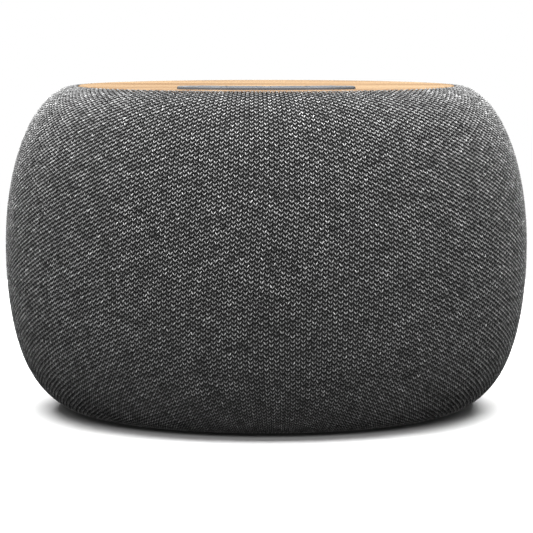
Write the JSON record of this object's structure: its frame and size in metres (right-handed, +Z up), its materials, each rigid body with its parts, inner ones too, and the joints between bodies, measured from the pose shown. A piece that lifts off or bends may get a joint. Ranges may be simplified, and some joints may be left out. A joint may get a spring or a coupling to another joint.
{
  "type": "smart speaker",
  "caption": "Round pebble-shaped smart speaker in a stretched knit sleeve, with a bamboo top plate, a curved key bar, front drivers, a rear passive radiator and a recessed port bay.",
  "frame": {"origin": "centre of the round footprint, on the surface the foot ring stands on", "axes": "+Z up through the middle of the top plate, front with the key bar faces -Y, +X to the right seen from the front"},
  "size_m": [0.21, 0.21, 0.1327],
  "materials": {
    "knit": "melange interlock knit",
    "bamboo": "satin lacquer",
    "slate_plastic": "soft-touch",
    "light_lens": "frosted",
    "shell_plastic": "fine texture",
    "box_plastic": "moulded",
    "port_plastic": "fine texture",
    "rubber": "matt",
    "foam": "open wadding",
    "board": "solder mask",
    "components": "moulded packages",
    "screw_steel": "zinc plated",
    "motor_steel": "plated",
    "ferrite": "sintered",
    "aluminium": "extruded",
    "cone_paper": "coated paper",
    "copper": "enamelled wire",
    "wire_insulation": "soft insulation"
  },
  "bodies": {
    "speaker": {"aux_jack": "port_plastic", "baffle": "box_plastic", "base_plate": "shell_plastic", "base_screws": "screw_steel", "board_components": "components", "board_screws": "screw_steel", "box_gasket": "foam", "box_screws": "screw_steel", "chassis_screws": "screw_steel", "control_board": "board", "damping_pad": "foam", "dc_jack": "port_plastic", "driver_screws": "screw_steel", "fabric_sleeve": "knit", "foot_ring": "rubber", "front_shell": "shell_plastic", "heat_sink": "aluminium", "internal_wires": "wire_insulation", "key_bezel": "slate_plastic", "left_driver_frame": "box_plastic", "left_magnet": "ferrite", "left_spider": "foam", "left_surround": "rubber", "left_washer": "motor_steel", "left_yoke": "motor_steel", "light_guide": "light_lens", "main_board": "board", "microphones": "components", "port_board": "board", "port_frame": "shell_plastic", "port_panel": "port_plastic", "radiator_frame": "box_plastic", "radiator_surround": "rubber", "rear_shell": "shell_plastic", "ribbon_cable": "board", "right_driver_frame": "box_plastic", "right_magnet": "ferrite", "right_spider": "foam", "right_surround": "rubber", "right_washer": "motor_steel", "right_yoke": "motor_steel", "shield_can": "motor_steel", "speaker_tub": "box_plastic", "status_led": "components", "tact_switches": "port_plastic", "top_chassis": "shell_plastic", "top_plate": "bamboo", "wifi_antennas": "board"},
    "mute_key": {"key_mute": "slate_plastic"},
    "volume_down_key": {"key_volume_down": "slate_plastic"},
    "volume_up_key": {"key_volume_up": "slate_plastic"},
    "action_key": {"key_action": "slate_plastic"},
    "pair_plunger": {"pair_button": "port_plastic"},
    "left_diaphragm": {"left_cone": "cone_paper", "left_dust_cap": "cone_paper", "left_voice_coil": "copper"},
    "right_diaphragm": {"right_cone": "cone_paper", "right_dust_cap": "cone_paper", "right_voice_coil": "copper"},
    "radiator_diaphragm": {"radiator_cone": "cone_paper"}
  },
  "joints": [
    {"name": "mute_press", "type": "slide", "parent": "speaker", "child": "mute_key", "axis": [0, 0, -1], "range_m": [0, 0.0004], "stiffness_N_per_m": 800, "springref_m": -0.0003},
    {"name": "volume_down_press", "type": "slide", "parent": "speaker", "child": "volume_down_key", "axis": [0, 0, -1], "range_m": [0, 0.0004], "stiffness_N_per_m": 800, "springref_m": -0.0003},
    {"name": "volume_up_press", "type": "slide", "parent": "speaker", "child": "volume_up_key", "axis": [0, 0, -1], "range_m": [0, 0.0004], "stiffness_N_per_m": 800, "springref_m": -0.0003},
    {"name": "action_press", "type": "slide", "parent": "speaker", "child": "action_key", "axis": [0, 0, -1], "range_m": [0, 0.0004], "stiffness_N_per_m": 800, "springref_m": -0.0003},
    {"name": "pair_press", "type": "slide", "parent": "speaker", "child": "pair_plunger", "axis": [0, -1, 0], "range_m": [0, 0.0004], "stiffness_N_per_m": 800, "springref_m": -0.0003},
    {"name": "left_cone_stroke", "type": "slide", "parent": "speaker", "child": "left_diaphragm", "axis": [0, -1, 0], "range_m": [-0.0025, 0.0025], "stiffness_N_per_m": 1600},
    {"name": "right_cone_stroke", "type": "slide", "parent": "speaker", "child": "right_diaphragm", "axis": [0, -1, 0], "range_m": [-0.0025, 0.0025], "stiffness_N_per_m": 1600},
    {"name": "radiator_stroke", "type": "slide", "parent": "speaker", "child": "radiator_diaphragm", "axis": [0, 1, 0], "range_m": [-0.004, 0.004], "stiffness_N_per_m": 800}
  ]
}
